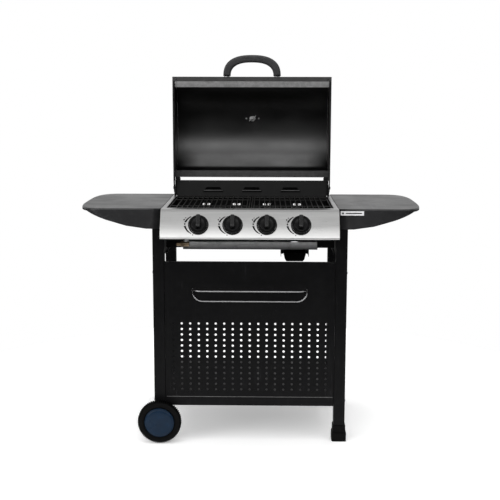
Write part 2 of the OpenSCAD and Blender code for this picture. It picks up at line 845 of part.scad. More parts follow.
// spacers under the handle's feet, and the screws put in from inside the lid
module handle_fixings() color("#a9abac") at_cart() opened() {
    for (s = [-1, 1]) translate([s * handle_screw_x, 0, 0]) {
        difference() {
            rod_y(lid_y0 - 2.9, lid_y0 - 0.1, 0, handle_z, 11);
            rod_y(lid_y0 - 4, lid_y0 + 1, 0, handle_z, 3.2);
        }
        rod_y(lid_y0 - 15, lid_y0 + sheet + 0.5, 0, handle_z, 3);
        rod_y(lid_y0 + sheet + 0.1, lid_y0 + sheet + 3.1, 0, handle_z, 6);
    }
}

module at_gauge() { translate([0, gauge_y, gauge_z]) children(); }

module thermometer_case() color("#b8babc") at_cart() opened() at_gauge() {
    rotate_extrude($fn = 72) polygon([
        [4.1, 0], [gauge_r - 3, 0], [gauge_r, 3], [gauge_r, 11], [gauge_r - 2, 14],
        [gauge_r - 5, 14], [gauge_r - 5, 12.5], [gauge_r - 2.5, 11], [gauge_r - 2.5, 3.5],
        [4.1, 1.5]
    ]);
}

module thermometer_dial() color("#efefec") at_cart() opened() at_gauge() {
    rotate_extrude() polygon([[4.1, 5], [gauge_r - 2.8, 5], [gauge_r - 2.8, 5.8], [4.1, 5.8]]);
}

module thermometer_needle() color("#b3261e") at_cart() opened() at_gauge() {
    translate([0, 0, 7.6]) rotate([0, 0, 135]) {
        cylinder(r = 3, h = 1);
        linear_extrude(0.8) polygon([[-1.4, -8], [1.4, -8], [0.5, 19], [-0.5, 19]]);
    }
}

// sensing stem with the wing nut that clamps the gauge to the lid
module thermometer_stem() color("#c0c2c4") at_cart() opened() at_gauge() {
    translate([0, 0, -46]) cylinder(r = 2.5, h = 40);
    translate([0, 0, -9]) cylinder(r = 4, h = 15.5);
    difference() {
        union() {
            translate([0, 0, -9]) cylinder(r = 9, h = 5);
            translate([-1.5, -17, -13]) cube([3, 34, 8]);
        }
        translate([0, 0, -14]) cylinder(r = 3.9, h = 12);
    }
}

legs_left();
legs_right();
feet();
bottom_shelf();
front_panel();
towel_rail();
side_rails();
cross_rails();
side_shelf_left();
side_shelf_right();
shelf_brackets();
badge();
firebox();
back_wall();
rim_strips();
hinge_brackets();
control_panel();
knob_bezels();
manifold();
gas_inlet();
valve_bodies();
burners();
flame_tamers();
spark_electrodes();
cooking_grates();
tray_runners();
axle();
frame_bolts();
drip_tray();
grease_cup();
lid_skin();
lid_cap_left();
lid_cap_right();
lid_handle();
handle_fixings();
thermometer_case();
thermometer_dial();
thermometer_needle();
thermometer_stem();
front_tyre();
front_wheel();
front_hub_cap();
rear_tyre();
rear_wheel();
rear_hub_cap();
valve_plug_1();
valve_plug_2();
valve_plug_3();
valve_plug_4();
valve_stem_1();
valve_stem_2();
valve_stem_3();
valve_stem_4();
knob_1();
knob_2();
knob_3();
knob_4();
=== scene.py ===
import json
import math

import bmesh
import bpy
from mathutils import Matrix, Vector


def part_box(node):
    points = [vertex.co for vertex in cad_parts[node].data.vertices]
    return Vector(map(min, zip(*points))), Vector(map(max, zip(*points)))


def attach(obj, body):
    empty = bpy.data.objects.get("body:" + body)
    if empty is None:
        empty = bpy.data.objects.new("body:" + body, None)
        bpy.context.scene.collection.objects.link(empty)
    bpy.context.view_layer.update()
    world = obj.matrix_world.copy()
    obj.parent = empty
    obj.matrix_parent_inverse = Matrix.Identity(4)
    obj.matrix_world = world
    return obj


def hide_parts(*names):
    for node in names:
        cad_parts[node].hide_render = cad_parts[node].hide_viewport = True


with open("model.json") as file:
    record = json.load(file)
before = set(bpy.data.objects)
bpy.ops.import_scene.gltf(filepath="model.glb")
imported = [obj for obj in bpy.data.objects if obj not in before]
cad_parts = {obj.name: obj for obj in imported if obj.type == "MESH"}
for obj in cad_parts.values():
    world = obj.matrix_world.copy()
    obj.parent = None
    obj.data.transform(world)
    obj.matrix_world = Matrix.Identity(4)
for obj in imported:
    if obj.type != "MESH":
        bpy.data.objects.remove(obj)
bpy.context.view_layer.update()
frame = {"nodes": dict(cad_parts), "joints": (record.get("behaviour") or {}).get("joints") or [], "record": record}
RECORD = frame["record"]
BODY = {n: b for b, ns in RECORD["behaviour"]["bodies"].items() for n in ns}
SLOT = {s["node"]: s["material_slot"] for s in RECORD["subparts"]}
JOINT = {j["name"]: j for j in frame["joints"]}
FRONT_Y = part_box("legs_left")[0].y  # the front faces of the front legs
MM = 0.001
SHEET = 1.2 * MM  # thickness of the sheet metal


# ---------------------------------------------------------------- node trees

class Nodes:
    """Adds nodes to a node tree and links them."""

    def __init__(self, tree):
        self.tree = tree

    def node(self, kind, **values):
        """A new node, with its inputs or settings given by name."""
        n = self.tree.nodes.new("ShaderNode" + kind)
        for k, v in values.items():
            if k in n.inputs:
                n.inputs[k].default_value = v
            else:
                setattr(n, k, v)
        return n

    def link(self, a, b):
        self.tree.links.new(a, b)

    def put(self, value, socket):
        """Sets a socket to a number or a colour, or links another socket to it."""
        if isinstance(value, (int, float)):
            socket.default_value = value
        elif isinstance(value, tuple):
            socket.default_value = (*value, 1)
        else:
            self.link(value, socket)

    def calc(self, operation, *values, **settings):
        """The result of a math node on sockets or numbers."""
        m = self.node("Math", operation=operation, **settings)
        for value, socket in zip(values, m.inputs):
            self.put(value, socket)
        return m.outputs[0]

    def fold(self, operation, *sockets):
        """The sum or product of several sockets."""
        total = sockets[0]
        for s in sockets[1:]:
            total = self.calc(operation, total, s)
        return total

    def part(self, vector, axis):
        """The X, Y or Z of a vector."""
        xyz = self.node("SeparateXYZ")
        self.link(vector, xyz.inputs[0])
        return xyz.outputs[axis]

    def span(self, fac, lo, hi, a=0.3, b=0.7, **settings):
        """Maps the range from a to b onto the range from lo to hi, and holds its ends."""
        r = self.node("MapRange", **settings)
        for k, v in (("From Min", a), ("From Max", b), ("To Min", lo), ("To Max", hi)):
            r.inputs[k].default_value = v
        self.link(fac, r.inputs["Value"])
        return r.outputs["Result"]


class Maker(Nodes):
    """A node material: a Principled shader and helpers for its detail."""

    def __init__(self, name, color, rough, metal=0.0, spec=0.5):
        self.name = name
        self.material = bpy.data.materials.new(name)
        self.material.use_nodes = True
        super().__init__(self.material.node_tree)
        self.shader = self.tree.nodes["Principled BSDF"]
        for k, v in (("Base Color", (*color, 1)), ("Roughness", rough), ("Metallic", metal),
                     ("Specular IOR Level", spec)):
            self.shader.inputs[k].default_value = v
        coords = self.node("TexCoord")
        self.at, self.normal = coords.outputs["Object"], coords.outputs["Normal"]

    def noise(self, scale, detail=3.0, rough=0.55, stretch=(1, 1, 1), turn=(0, 0, 0)):
        at = self.at
        if stretch != (1, 1, 1) or turn != (0, 0, 0):
            mp = self.node("Mapping", Scale=stretch, Rotation=turn)
            self.link(at, mp.inputs["Vector"])
            at = mp.outputs["Vector"]
        n = self.node("TexNoise", Scale=scale, Detail=detail, Roughness=rough)
        self.link(at, n.inputs["Vector"])
        return n.outputs["Fac"]

    def ramp(self, fac, stops):
        """A colour ramp through (position, colour) stops."""
        r = self.node("ValToRGB")
        e = r.color_ramp.elements
        while len(e) < len(stops):
            e.new(0.5)
        for el, (p, c) in zip(e, stops):
            el.position = p
            el.color = (*c, 1)
        self.link(fac, r.inputs["Fac"])
        return r.outputs["Color"]

    def mix(self, fac, a, b, kind="MIX"):
        m = self.node("MixRGB", blend_type=kind)
        for value, socket in zip((fac, a, b), m.inputs):
            self.put(value, socket)
        return m.outputs["Color"]

    def times(self, a, b):
        return self.calc("MULTIPLY", a, b, use_clamp=True)

    def facing_up(self, lo=0.5, hi=0.95):
        """0 on walls and undersides, 1 on surfaces that face up when the object is at rest."""
        return self.span(self.part(self.normal, "Z"), 0.0, 1.0, lo, hi)

    def below(self, low, high):
        """1 under the height low, 0 above high, with the object at rest."""
        return self.span(self.part(self.at, "Z"), 1.0, 0.0, low, high)

    def inboard(self, inner, outer):
        """1 nearer the middle than inner, 0 beyond outer, measured along X."""
        return self.span(self.calc("ABSOLUTE", self.part(self.at, "X")), 1.0, 0.0, inner, outer)

    def scratches(self, scale, turn, wide=0.012, stretch=(1, 0.03, 1)):
        """Thin lines of wear, 1 on a scratch and 0 beside it, in scattered patches."""
        lines = self.noise(scale, 2, 0.5, stretch, turn)
        off = self.calc("ABSOLUTE", self.calc("SUBTRACT", lines, 0.5))
        patch = self.span(self.noise(scale / 9, 2), 0.0, 1.0, 0.5, 0.62)
        return self.times(patch, self.span(off, 1.0, 0.0, 0.0, wide))

    def bump(self, height, strength, distance):
        """Adds a bump on top of those that the shader already has."""
        n = self.node("Bump", Strength=strength, Distance=distance)
        self.link(height, n.inputs["Height"])
        if self.shader.inputs["Normal"].is_linked:
            self.link(self.shader.inputs["Normal"].links[0].from_socket, n.inputs["Normal"])
        self.link(n.outputs["Normal"], self.shader.inputs["Normal"])

    def tint(self, socket):
        self.link(socket, self.shader.inputs["Base Color"])

    def tinted(self):
        """The colour that the shader has so far."""
        return self.shader.inputs["Base Color"].links[0].from_socket

    def gloss(self, socket):
        self.link(socket, self.shader.inputs["Roughness"])


# ---------------------------------------------------------------- materials

NONE = (0.0, 0.0, 0.0)
SETTLED_DUST = (0.2, 0.195, 0.185)
# a lighter grey, painted as a highlight inside the lid
PAINTED_HIGHLIGHT_GREY = (0.3, 0.3, 0.3)
# the tint for painted shade along the tray's lower edge
PAINTED_SHADE_TINT = (0.1, 0.1, 0.1)
# how far brush marks and streaks are stretched along each axis
FINE = {"x": (0.012, 1, 1), "y": (1, 0.012, 1)}
WIDE = {"x": (0.05, 1, 1), "y": (1, 0.05, 1)}


def scaled(c, k):
    return tuple(min(1.0, x * k) for x in c)


def coated(name, color, lo, hi, grain=1300, depth=0.00003, spec=0.5, dust=1.6, scratch=0.0,
           settled=0.0, upright=False):
    """Painted, enamelled or moulded surfaces: orange peel, uneven gloss, dust and scratches."""
    k = Maker(name, color, lo, spec=spec)
    k.gloss(k.span(k.noise(9, 5), lo, hi))
    base = k.ramp(k.noise(38, 6, 0.65), [(0.3, scaled(color, 0.82)), (0.55, color),
                                         (0.8, scaled(color, dust))])
    if settled:
        veil = k.times(k.facing_up(), k.span(k.noise(70, 5, 0.7), 0.0, settled))
        base = k.mix(veil, base, SETTLED_DUST)
    if scratch:
        marks = (k.scratches(60, (0, 0.45, 0), 0.01, (1, 1, 0.02)) if upright
                 else k.scratches(46, (0, 0, 0.7)))
        base = k.mix(marks, base, scaled(color, 1 + scratch))
        k.bump(marks, 0.3, -0.00002)
    k.tint(base)
    k.bump(k.noise(grain, 2), 0.5, depth)
    return k


def brushed(name, color, lo, hi, along="x", fine=900, spread=0.12, worn=0.0):
    """Brushed metal: fine lines along one axis, broad uneven streaks and smudges."""
    k = Maker(name, color, lo, metal=1.0)
    lines = k.noise(fine, 3, 0.6, FINE[along])
    streak = k.noise(60, 4, 0.6, WIDE[along])
    k.gloss(k.span(k.mix(0.4, lines, k.noise(14, 4)), lo, hi))
    base = k.ramp(streak, [(0.25, scaled(color, 1 - spread)), (0.75, scaled(color, 1 + spread))])
    marks = k.ramp(lines, [(0.2, scaled(color, 0.75)), (0.8, scaled(color, 1.2))])
    base = k.mix(0.35, base, marks)
    if worn:
        base = k.mix(k.scratches(30, (0, 0, 0.5), 0.03), base, scaled(color, 1 - worn))
    k.tint(base)
    k.bump(lines, 0.35, 0.00002)
    return k


def mottled(name, color, lo, hi, metal, scale=26):
    """Plated or heat-marked sheet with cloudy patches and fine drawn lines; on the lid's lip and ledge, a painted
    reflection.
    """
    k = Maker(name, color, lo, metal=metal)
    cloud = k.ramp(k.noise(scale, 7, 0.72), [(0.3, scaled(color, 0.6)), (0.5, color),
                                             (0.72, scaled(color, 1.45))])
    lines = k.ramp(k.noise(500, 3, 0.6, (0.02, 1, 1)), [(0.3, scaled(color, 0.7)),
                                                        (0.7, scaled(color, 1.3))])
    k.tint(k.mix(0.25, cloud, lines))
    k.gloss(k.span(k.noise(scale * 1.7, 5), lo, hi))
    k.bump(k.noise(420, 3), 0.3, 0.00004)
    return k


def enamel_with_painted_highlight():
    """The lid's enamel, with a cloudy lighter band low down inside the barrel: a painted highlight where light
    falls on it.
    """
    k = coated("lid_enamel", (0.0014, 0.0014, 0.0015), 0.27, 0.37, 900, 0.00001, spec=0.7)
    k.shader.inputs["IOR"].default_value = 1.6
    plain_enamel = k.tinted()
    cloud = k.span(k.noise(9, 6, 0.65, (0.5, 1, 1)), 0.45, 1.0)
    # painted highlight: a lighter grey mixed in on the upward-facing inside of the barrel
    painted_highlight = k.times(k.times(k.facing_up(0.25, 0.7), k.below(0.985, 1.05)), cloud)
    painted_highlight = k.mix(k.below(0.9, 0.985), painted_highlight, NONE)  # the painted highlight thins downwards
    painted_highlight = k.times(painted_highlight, k.inboard(0.215, 0.292))  # and towards the end caps
    painted_highlight = k.mix(k.below(0.938, 0.945), painted_highlight, NONE)  # and stops above the rear ledge, where the barrel is in shade
    k.tint(k.mix(painted_highlight, plain_enamel, PAINTED_HIGHLIGHT_GREY))
    return k


def tray_sheet_painted_shade():
    """Galvanised sheet, made darker towards the tray's lower edge as painted shade."""
    k = mottled("tray_sheet_painted_shade", (0.88, 0.885, 0.89), 0.4, 0.58, 0.75)
    # painted shade: the sheet darkens towards its lower edge, where the tray's lip is in shadow
    k.tint(k.mix(k.below(0.686, 0.708), k.tinted(), PAINTED_SHADE_TINT, "MULTIPLY"))
    return k


def build_materials():
    """All materials by name: colour, least and most roughness, then what sets each apart."""
    made = [
        coated("black_steel", (0.0042, 0.0042, 0.0045), 0.36, 0.5, spec=0.08, scratch=1.8,
               upright=True),
        coated("shelf_steel", (0.02, 0.02, 0.021), 0.3, 0.42, spec=0.55, scratch=3.0,
               settled=0.06),
        coated("firebox_enamel", (0.008, 0.008, 0.008), 0.5, 0.66, spec=0.3, settled=0.03),
        enamel_with_painted_highlight(),
        # much lighter than the lid's enamel, on the same sheet: painted highlight for the lid's front rim
        coated("lid_rim", (0.04, 0.04, 0.04), 0.4, 0.55, spec=0.5, scratch=1.0),
        # a lighter grey than the black enamel and steel it sits on: painted highlight for rolled edges that catch
        # the light
        coated("painted_highlight_edge", (0.075, 0.075, 0.075), 0.4, 0.55, spec=0.5),
        coated("burnt_enamel", (0.003, 0.003, 0.003), 0.5, 0.66, spec=0.12, dust=2.2),
        # very dark and matt: soot on the grease cup, and painted shade as the lining inside the vent hoods
        coated("soot_and_painted_shade", (0.0014, 0.0014, 0.0015), 0.7, 0.9, 900, 0.00005, spec=0.08),
        coated("grate_enamel", (0.004, 0.004, 0.004), 0.3, 0.44, 700, 0.00006, spec=0.35,
               settled=0.16),
        coated("black_plastic", (0.032, 0.032, 0.033), 0.5, 0.62, 2200, 0.00005, spec=0.4),
        coated("knob_plastic", (0.0032, 0.0032, 0.0034), 0.2, 0.3, 2600, 0.00001, spec=0.2),
        # a little lighter than knob_plastic though the knob is one moulding: painted highlight on the grip's lit
        # face
        coated("knob_grip", (0.0042, 0.0042, 0.0044), 0.24, 0.34, 2600, 0.00001, spec=0.5),
        coated("tyre_plastic", (0.0014, 0.0014, 0.0015), 0.5, 0.68, 900, 0.00005, spec=0.08),
        coated("blue_plastic", (0.0028, 0.0135, 0.032), 0.24, 0.36, 1800, 0.00003, spec=0.16),
        coated("ceramic", (0.34, 0.32, 0.29), 0.16, 0.3, dust=1.3),
        coated("dial_white", (0.8, 0.8, 0.77), 0.3, 0.4, dust=1.05),
        coated("needle_red", (0.5, 0.03, 0.02), 0.3, 0.4, dust=1.1),
        coated("print_black", (0.002, 0.002, 0.002), 0.45, 0.6, 3000, 0.000005, spec=0.1),
        coated("badge_face", (0.84, 0.84, 0.85), 0.25, 0.4, 1500, 0.00001, dust=1.04),
        brushed("stainless", (0.62, 0.62, 0.615), 0.26, 0.4, fine=1100, worn=0.12),
        brushed("strip_steel", (0.6, 0.6, 0.6), 0.3, 0.46, "y", worn=0.55),
        mottled("galvanised", (0.5, 0.505, 0.51), 0.4, 0.58, 0.8),
        tray_sheet_painted_shade(),
        # the lid's return lip and rear ledge are the same black enamel as the barrel; these lighter, cloudy greys
        # are painted reflection
        mottled("lid_lip", (0.5, 0.5, 0.5), 0.4, 0.6, 0.3, 40),
        mottled("lid_ledge", (0.055, 0.055, 0.055), 0.45, 0.62, 0.3, 60),
        brushed("burner_steel", (0.30, 0.27, 0.24), 0.35, 0.5, "y", spread=0.3),
        brushed("sooty_steel", (0.05, 0.045, 0.04), 0.5, 0.66, "y", spread=0.35),
        brushed("bright_wire", (0.38, 0.38, 0.385), 0.18, 0.28),
        brushed("zinc", (0.55, 0.55, 0.56), 0.25, 0.4),
        mottled("bright_zinc", (0.8, 0.8, 0.8), 0.25, 0.4, 0.5, 120),
        mottled("brass", (0.17, 0.125, 0.08), 0.3, 0.5, 0.85, 90),
    ]
    return {k.name: k.material for k in made}


MAT = build_materials()


# ---------------------------------------------------------------- mesh helpers

TINY = 1e-5  # radius that stands for a point on the axis


def finish_piece(name, bm, slot, node, look=None, bevel=0.0, replaces=(), angle=35):
    """Turns a bmesh into a piece on the body of a CAD node, with its material and soft edges."""
    bmesh.ops.remove_doubles(bm, verts=bm.verts, dist=1e-7)
    bmesh.ops.recalc_face_normals(bm, faces=bm.faces)
    me = bpy.data.meshes.new(name)
    bm.to_mesh(me)
    bm.free()
    me.materials.append(MAT[look or slot])
    for p in me.polygons:
        p.use_smooth = True
    o = bpy.data.objects.new(name, me)
    bpy.context.scene.collection.objects.link(o)
    soften(o, bevel, angle)
    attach(o, BODY[node])
    if replaces:
        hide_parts(*replaces)


def soften(o, bevel, angle):
    """Rounds sharp edges with a bevel and shades the rest smooth."""
    if bevel:
        b = o.modifiers.new("soft_edges", "BEVEL")
        b.width, b.segments = bevel, 2
        b.limit_method, b.angle_limit = "ANGLE", math.radians(angle)
        b.use_clamp_overlap = True
        b.harden_normals = True
    n = o.modifiers.new("normals", "WEIGHTED_NORMAL")
    n.keep_sharp = True


def loft(bm, rings, hoop=False):
    """Skins a row of closed rings of equally many points. Its ends are capped, or joined to
    each other to make a hoop."""
    rows = [[bm.verts.new(p) for p in ring] for ring in rings]
    n = len(rows[0])
    for a, b in zip(rows, rows[1:] + rows[:1] if hoop else rows[1:]):
        for i in range(n):
            j = (i + 1) % n
            bm.faces.new((a[i], a[j], b[j], b[i]))
    if not hoop:
        bm.faces.new(rows[0][::-1])
        bm.faces.new(rows[-1])


def spread(a, b, n):
    """Numbers from a to b in n equal steps."""
    return [a + (b - a) * i / n for i in range(n + 1)]


def slab(bm, outline, xs):
    """Extrudes an outline in Y and Z through each x."""
    loft(bm, [[Vector((x, y, z)) for y, z in outline] for x in xs])


def block(bm, lo, hi):
    """Adds a box between two corners, for small folded parts that a bevel rounds."""
    ring = [(lo[0], lo[1]), (hi[0], lo[1]), (hi[0], hi[1]), (lo[0], hi[1])]
    loft(bm, [[(x, y, z) for x, y in ring] for z in (lo[2], hi[2])])


def axes_for(axis):
    """Two unit vectors square to an axis, sideways and as near to upwards as it allows, then
    the axis itself at unit length."""
    axis = Vector(axis).normalized()
    side = Vector((1, 0, 0)) if abs(axis.x) < 0.9 else Vector((0, 1, 0))
    up = axis.cross(side).normalized()
    side = up.cross(axis).normalized()
    if up.z < 0:
        up, side = -up, -side
    return side, up, axis


def turned(bm, profile, place, axis, segments=64, hoop=False, groove=None):
    """A turned solid: profile holds (radius, height) pairs in metres. The profile of a hoop is a
    closed outline that doesn't touch the axis. groove(radius, i) is a depth to cut at step i."""
    side, up, out = axes_for(axis)
    rings = []
    for r, h in profile:
        ring = []
        for i in range(segments):
            t = 2 * math.pi * i / segments
            rr = r - groove(r, i) if groove else r
            ring.append(place + out * h + (side * math.cos(t) + up * math.sin(t)) * max(rr, TINY))
        rings.append(ring)
    loft(bm, rings, hoop)


def mm(*pairs):
    """Pairs of numbers from millimetres to metres."""
    return [(a * MM, b * MM) for a, b in pairs]


def arc(centre, r, a0, a1, steps):
    """Points of an arc in a plane, angles in degrees."""
    return [(centre[0] + r * math.cos(math.radians(a0 + (a1 - a0) * i / steps)),
             centre[1] + r * math.sin(math.radians(a0 + (a1 - a0) * i / steps)))
            for i in range(steps + 1)]


def bead(y, z):
    """Section of a rolled sheet edge, 2.6 mm thick."""
    return [(y + dy, z + dz) for dy, dz in arc((0, 0), 1.3 * MM, 0, 330, 11)]


def rounded(w, h, r, steps=4):
    """Outline of a rectangle w by h with round corners, centred on 0."""
    pts = []
    for sx, sy, a in ((1, 1, 0), (-1, 1, 90), (-1, -1, 180), (1, -1, 270)):
        pts += arc((sx * (w / 2 - r), sy * (h / 2 - r)), r, a, a + 90, steps)
    return pts


def super_pt(a, b, n, t):
    """Point of a superellipse with half axes a and b, angle t in degrees."""
    c, s = math.cos(math.radians(t)), math.sin(math.radians(t))
    return (a * math.copysign(abs(c) ** (2 / n), c), b * math.copysign(abs(s) ** (2 / n), s))


# ---------------------------------------------------------------- carried-over CAD nodes

def dress(node, bevel, look):
    """A carried-over CAD node: softened edges and its node material."""
    o = frame["nodes"][node]
    o.data.materials.clear()
    o.data.materials.append(MAT[look or SLOT[node]])
    w = o.modifiers.new("weld", "WELD")
    w.merge_threshold = 1e-5
    for p in o.data.polygons:
        p.use_smooth = True
    soften(o, bevel, 32)


# ---------------------------------------------------------------- control panel

KNOBS = [Vector(JOINT[f"burner_{i}_turn"]["pos_m"]) for i in range(1, 5)]
OUT = Vector(JOINT["burner_1_turn"]["axis"]).normalized()
OUT = OUT if OUT.y < 0 else -OUT
LEAN = math.degrees(math.asin(OUT.z))  # how far the knobs look up


def panel_profile():
    """Points (y, z) and tilts of the panel's outer line, walked from its rear top edge. The tilt
    is 90 where the sheet lies level, 0 where it is upright and negative where it turns back."""
    lo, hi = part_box("control_panel")
    crown = 7.5  # the face bulges: its tilt runs from LEAN + crown to LEAN - crown
    level, under = 90, -78

    def bend(radius, a0, a1, n):
        return radius * math.radians(a0 - a1), a0, a1, n

    runs = [(32 * MM, level, level, 2), bend(22 * MM, level, LEAN + crown, 14),
            (90.6 * MM, LEAN + crown, LEAN - crown, 24), bend(5 * MM, LEAN - crown, under, 12),
            (9 * MM, under, under, 2)]
    y, z = hi.y, hi.z
    pts = [(y, z, float(level))]
    for length, a0, a1, n in runs:
        for i in range(n):
            tilt = a0 + (a1 - a0) * (i + 0.5) / n
            y -= length / n * math.sin(math.radians(tilt))
            z -= length / n * math.cos(math.radians(tilt))
            pts.append((y, z, a0 + (a1 - a0) * (i + 1) / n))
    touch = max((Vector((0, p[0], p[1])) - Vector((0, KNOBS[0].y, KNOBS[0].z))).dot(OUT)
                for p in pts)
    shift = touch / OUT.y  # slides the line so that its crown meets the knobs' plane
    return [(max(p[0] - shift, lo.y), max(p[1], lo.z), p[2]) for p in pts]


PANEL = panel_profile()


def panel_at(x, down, lift):
    """A point on the panel's face: down is measured along it from the knob's centre."""
    z = KNOBS[0].z - down * math.cos(math.radians(LEAN))
    a, b = min(zip(PANEL, PANEL[1:]), key=lambda s: abs((s[0][1] + s[1][1]) / 2 - z))
    k = (z - a[1]) / ((b[1] - a[1]) or 1)
    y = a[0] + (b[0] - a[0]) * k
    tilt = math.radians(a[2] + (b[2] - a[2]) * k)
    return Vector((x, y - lift * math.cos(tilt), z + lift * math.sin(tilt)))


def add_control_panel():
    """The folded panel sheet with a cheek plate inside each end."""
    lo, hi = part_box("control_panel")
    inner = [(y + SHEET * math.cos(math.radians(t)), z - SHEET * math.sin(math.radians(t)))
             for y, z, t in PANEL]
    bm = bmesh.new()
    slab(bm, [(y, z) for y, z, _ in PANEL] + inner[::-1], spread(lo.x, hi.x, 24))
    cheek_depth, edge = 66 * MM, 0.3 * MM
    cheek = [(y, z - 0.4 * MM) for y, z in inner if y < lo.y + cheek_depth]
    slab(bm, cheek, (lo.x + edge, lo.x + SHEET))
    slab(bm, cheek, (hi.x - SHEET, hi.x - edge))
    finish_piece("panel_sheet", bm, "stainless", "control_panel", bevel=0.0003,
                 replaces=["control_panel"], angle=50)


def add_panel_marks():
    """Printed flame and dot marks beside each knob, a thin film lying on the panel."""
    painted_highlight, steps = 0.12 * MM, 18
    # start and end angle, start and end radius, start and end width, in mm and degrees
    bands = [(130, 168, 39.0, 46.0, 2.6, 6.4), (184, 233, 46.5, 39.0, 7.0, 2.4)]
    # angle, radius, half width
    dots = [(176, 46.5, 2.6), (159, 52.5, 2.2), (150, 50.5, 1.6), (243, 40.5, 1.8)]
    for i, knob in enumerate(KNOBS, 1):
        bm = bmesh.new()
        for a0, a1, r0, r1, w0, w1 in bands:
            rings = []
            for k in range(steps + 1):
                f = k / steps
                t = math.radians(a0 + (a1 - a0) * f)
                wide = w0 + (w1 - w0) * f
                mid = r0 + (r1 - r0) * f
                corners = ((mid - wide / 2, 0), (mid + wide / 2, 0),
                           (mid + wide / 2, painted_highlight), (mid - wide / 2, painted_highlight))
                rings.append([panel_at(knob.x + r * MM * math.cos(t), -r * MM * math.sin(t), h)
                              for r, h in corners])
            loft(bm, rings)
        for a, r, size in dots:
            t = math.radians(a)
            cx, cd = r * math.cos(t), -r * math.sin(t)
            ring = [(cx + size * math.cos(u), cd + 1.3 * size * math.sin(u))
                    for u in (math.radians(v) for v in range(0, 360, 30))]
            loft(bm, [[panel_at(knob.x + x * MM, d * MM, h) for x, d in ring]
                      for h in (0, painted_highlight)])
        finish_piece(f"burner_mark_{i}", bm, "black_plastic", "control_panel", "print_black")


def add_knobs():
    """Black bezels on the panel and, in each, a dished knob with a grip bar."""
    side, up, _ = axes_for(OUT)
    ring = mm((30, -4), (35, -4), (35, 3.2), (34.4, 4.9), (33.2, 5.7), (32.2, 5.4), (31.7, 4.4),
              (31.6, -3), (30, -3))
    skirt = mm((0, 6.4), (30.6, 6.4), (31.2, 7.2), (31.1, 9.6), (30.3, 11.4), (28.8, 12.4),
               (28.2, 12.2), (26.6, 10.6), (25.4, 10.4), (24.8, 11.2), (23.8, 14.2), (22.4, 15.2),
               (20.8, 15.0), (16, 13.6), (0, 13.2))
    for i, place in enumerate(KNOBS, 1):
        bm = bmesh.new()
        turned(bm, ring, place, OUT, 96, hoop=True)
        names = ["knob_bezels"] if i == 1 else []
        finish_piece(f"bezel_{i}", bm, "knob_plastic", "knob_bezels", replaces=names)
        bm = bmesh.new()
        turned(bm, skirt, place, OUT, 96)
        finish_piece(f"knob_dial_{i}", bm, "knob_plastic", f"knob_{i}",
                     replaces=[f"knob_{i}"])
        bm = bmesh.new()
        # the grip takes a lighter copy of the knob's plastic: painted highlight
        add_grip(bm, place, side, up)
        finish_piece(f"knob_grip_{i}", bm, "knob_plastic", f"knob_{i}", "knob_grip")


def add_grip(bm, place, side, up):
    """A bar across the dial, widest at its near end, with a rounded back and ends."""
    y0, y1, base, cut = -13.0, 31.0, 11.0, 2.2  # its ends, foot and bevelled edge, in mm
    steps = 22
    rings = []
    for k in range(steps + 1):
        f = math.sin((-1 + 2 * k / steps) * math.pi / 2)
        y = (y0 + y1) / 2 + (y1 - y0) / 2 * f
        end = (1 - abs(f) ** 12) ** 0.5
        half = (7.4 - 0.9 * (k / steps)) * (0.6 + 0.4 * end)
        top = 28.2 - 3.0 * (k / steps) ** 3 - 2.6 * (1 - end)
        section = [(-half - 1.2, base), (half + 1.2, base), (half + 0.3, top - cut),
                   (half - 0.5 * cut, top - 0.3 * cut), (half - 1.2 * cut, top),
                   (-half + 1.2 * cut, top), (-half + 0.5 * cut, top - 0.3 * cut),
                   (-half - 0.3, top - cut)]
        rings.append([place + side * x * MM + up * y * MM + OUT * h * MM for x, h in section])
    loft(bm, rings)


# ---------------------------------------------------------------- lid

PIVOT = Vector(JOINT["lid_hinge"]["pos_m"])
CURVE_STEPS = 72


def lid_curve(inset):
    """The barrel's section in the open pose, from the low rear edge round to the upright front."""
    rear_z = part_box("lid_skin")[0].z
    front_z = PIVOT.z + (PIVOT.y - FRONT_Y) + 3 * MM
    mid, half = (rear_z + front_z) / 2, (front_z - rear_z) / 2
    shoulder = PIVOT.y + 16 * MM
    crown = shoulder + 159 * MM
    pts = []
    for i in range(CURVE_STEPS + 1):
        across, out = super_pt(half - inset, crown - shoulder - inset, 2.4,
                               180 * i / CURVE_STEPS)
        pts.append((shoulder + max(out, 0), mid - across))
    return pts


